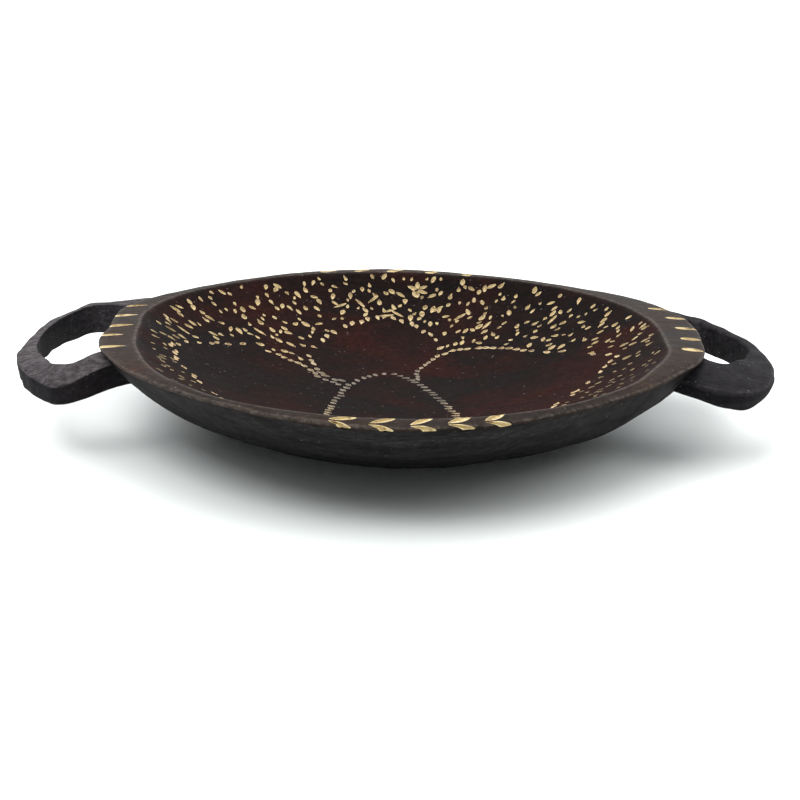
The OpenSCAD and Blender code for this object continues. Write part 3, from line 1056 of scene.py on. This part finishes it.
def build():
    body, rim = dish_and_rim()
    left, right = both_handles(body, rim)
    inside, cutters_inside = cuts_inside(body)
    on_rim, cutters_on_rim = cuts_on_rim(rim)
    for cutter in cutters_inside + cutters_on_rim:
        boolean(body, cutter, "DIFFERENCE")
        boolean(rim, cutter, "DIFFERENCE")
        drop(cutter)
    # paler crest and lip-edge bands, partly rubbed wear and partly painted highlight
    store(body, rim_wear_and_highlight)
    store(rim, rim_wear_and_highlight)
    store(body, outside_share, "outside")
    # handles: paler tops, partly worn and partly painted light, painted ridge highlights, painted light on
    # front faces
    for ob, most in ((left, 0.85), (right, 0.05)):
        normals = np.array([v.normal for v in ob.data.vertices])
        store(ob, lambda co: handle_wear_and_painted_light(co, normals, most))
    pieces = inside + on_rim + [(body, "bowl_body", WOOD, "dark_wood"), (rim, "rim_band", RIM, "rim_wood"),
                                (left, "handle_left", HANDLE, "handle_wood"),
                                (right, "handle_right", HANDLE, "handle_wood")]
    for ob, node, mat, slot in pieces:
        material_slot(ob, mat)
        ob.data.polygons.foreach_set("use_smooth", [True] * len(ob.data.polygons))
        sharpen(ob, 24 if ob.name.startswith("cuts") else 32)
        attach(ob, "root")
        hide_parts(node)


build()

# ---------------------------------------------------------------- stage, light, camera
def look(pitch, roll):
    """Camera rotation: looks along +Y, down by pitch, rolled clockwise."""
    fwd = Vector((0, math.cos(pitch), -math.sin(pitch)))
    up = Vector((0, math.sin(pitch), math.cos(pitch)))
    right = fwd.cross(up)
    up2 = up * math.cos(roll) - right * math.sin(roll)
    right2 = right * math.cos(roll) + up * math.sin(roll)
    return Matrix((right2, up2, -fwd)).transposed()


EYE_X = -0.97                         # the camera is this far to the side
EYE_DISTANCE = 4.1 * RIM_R            # and this far from the middle of the rim
EYE_RISE = math.radians(14.6)         # at this angle above the rim's level
EYE_PITCH = math.radians(14.6 + 3.397)
EYE_ROLL = math.radians(1.2)
cam_data = bpy.data.cameras.new("camera")
cam_data.sensor_width = 36
cam_data.lens = 54.36
cam = bpy.data.objects.new("camera", cam_data)
bpy.context.scene.collection.objects.link(cam)
eye = Vector((EYE_X, -EYE_DISTANCE * math.cos(EYE_RISE), RIM_Z + EYE_DISTANCE * math.sin(EYE_RISE)))
cam.matrix_world = Matrix.Translation(eye * MM) @ look(EYE_PITCH, EYE_ROLL).to_4x4()
bpy.context.scene.camera = cam

# a wide floor that turns up gently far away, so no horizon line shows: (radius, height) in metres
COVE = [(6, 0), (9, 0.05), (12, 0.2), (16, 0.6), (22, 1.5), (34, 3.6), (60, 8.4)]
SIDES = 96
turns = [TAU * i / SIDES for i in range(SIDES)]
floor_verts = [(r * math.cos(t), r * math.sin(t), z) for r, z in COVE for t in turns]
floor_faces = [tuple(range(SIDES))]
for k in range(len(COVE) - 1):
    for i in range(SIDES):
        j = (i + 1) % SIDES
        floor_faces.append((k * SIDES + i, (k + 1) * SIDES + i, (k + 1) * SIDES + j, k * SIDES + j))
floor_me = bpy.data.meshes.new("floor")
floor_me.from_pydata(floor_verts, [], floor_faces)
floor_me.polygons.foreach_set("use_smooth", [True] * len(floor_me.polygons))
floor = bpy.data.objects.new("floor", floor_me)
bpy.context.scene.collection.objects.link(floor)
floor.location.z = -0.0002            # just under the foot, so the two never share a face
floor_mat = bpy.data.materials.new("floor_white")
_, floor_bsdf = nodes_of(floor_mat)
floor_bsdf.inputs["Base Color"].default_value = (0.83, 0.87, 0.86, 1)
floor_bsdf.inputs["Roughness"].default_value = 0.6
floor_bsdf.inputs["Specular IOR Level"].default_value = 0.2
floor_me.materials.append(floor_mat)

# light from all round: bright overhead, dim in front, brighter behind
world = bpy.data.worlds.new("studio")
bpy.context.scene.world = world
world.use_nodes = True
wt = world.node_tree
bg = wt.nodes["Background"]
split = wt.nodes.new("ShaderNodeSeparateXYZ")
wt.links.new(wt.nodes.new("ShaderNodeTexCoord").outputs["Generated"], split.inputs[0])
overhead = ramp(wt, split.outputs[2], [(0.42, (0, 0, 0)), (0.75, (1, 1, 1))])
side = ramp(wt, maths(wt, "MULTIPLY_ADD", split.outputs[1], 0.5),
            [(0.15, (0.1, 0.1, 0.1)), (0.5, (0.65, 0.65, 0.65)), (0.9, (1, 1, 1))])
back = ramp(wt, maths(wt, "MULTIPLY_ADD", split.outputs[1], 0.5),
            [(0.3, (0.03, 0.03, 0.03)), (0.55, (0.13, 0.13, 0.135)), (0.85, (0.36, 0.36, 0.37))])
wt.links.new(mix(wt, overhead, back, side), bg.inputs[0])
bg.inputs[1].default_value = 3.8


def area(name, loc, size, power):
    """Rectangular light aimed at the foot of the bowl, in metres and watts."""
    d = bpy.data.lights.new(name, "AREA")
    d.shape = "RECTANGLE"
    d.size, d.size_y = size
    d.energy = power
    o = bpy.data.objects.new(name, d)
    bpy.context.scene.collection.objects.link(o)
    o.location = loc
    o.rotation_euler = (-Vector(loc)).to_track_quat("-Z", "Y").to_euler()


area("key", (-0.7, -0.6, 1.5), (1.1, 0.8), 11)
area("fill", (1.1, -0.3, 1.1), (0.8, 0.8), 3)
bpy.context.scene.view_settings.view_transform = "Standard"
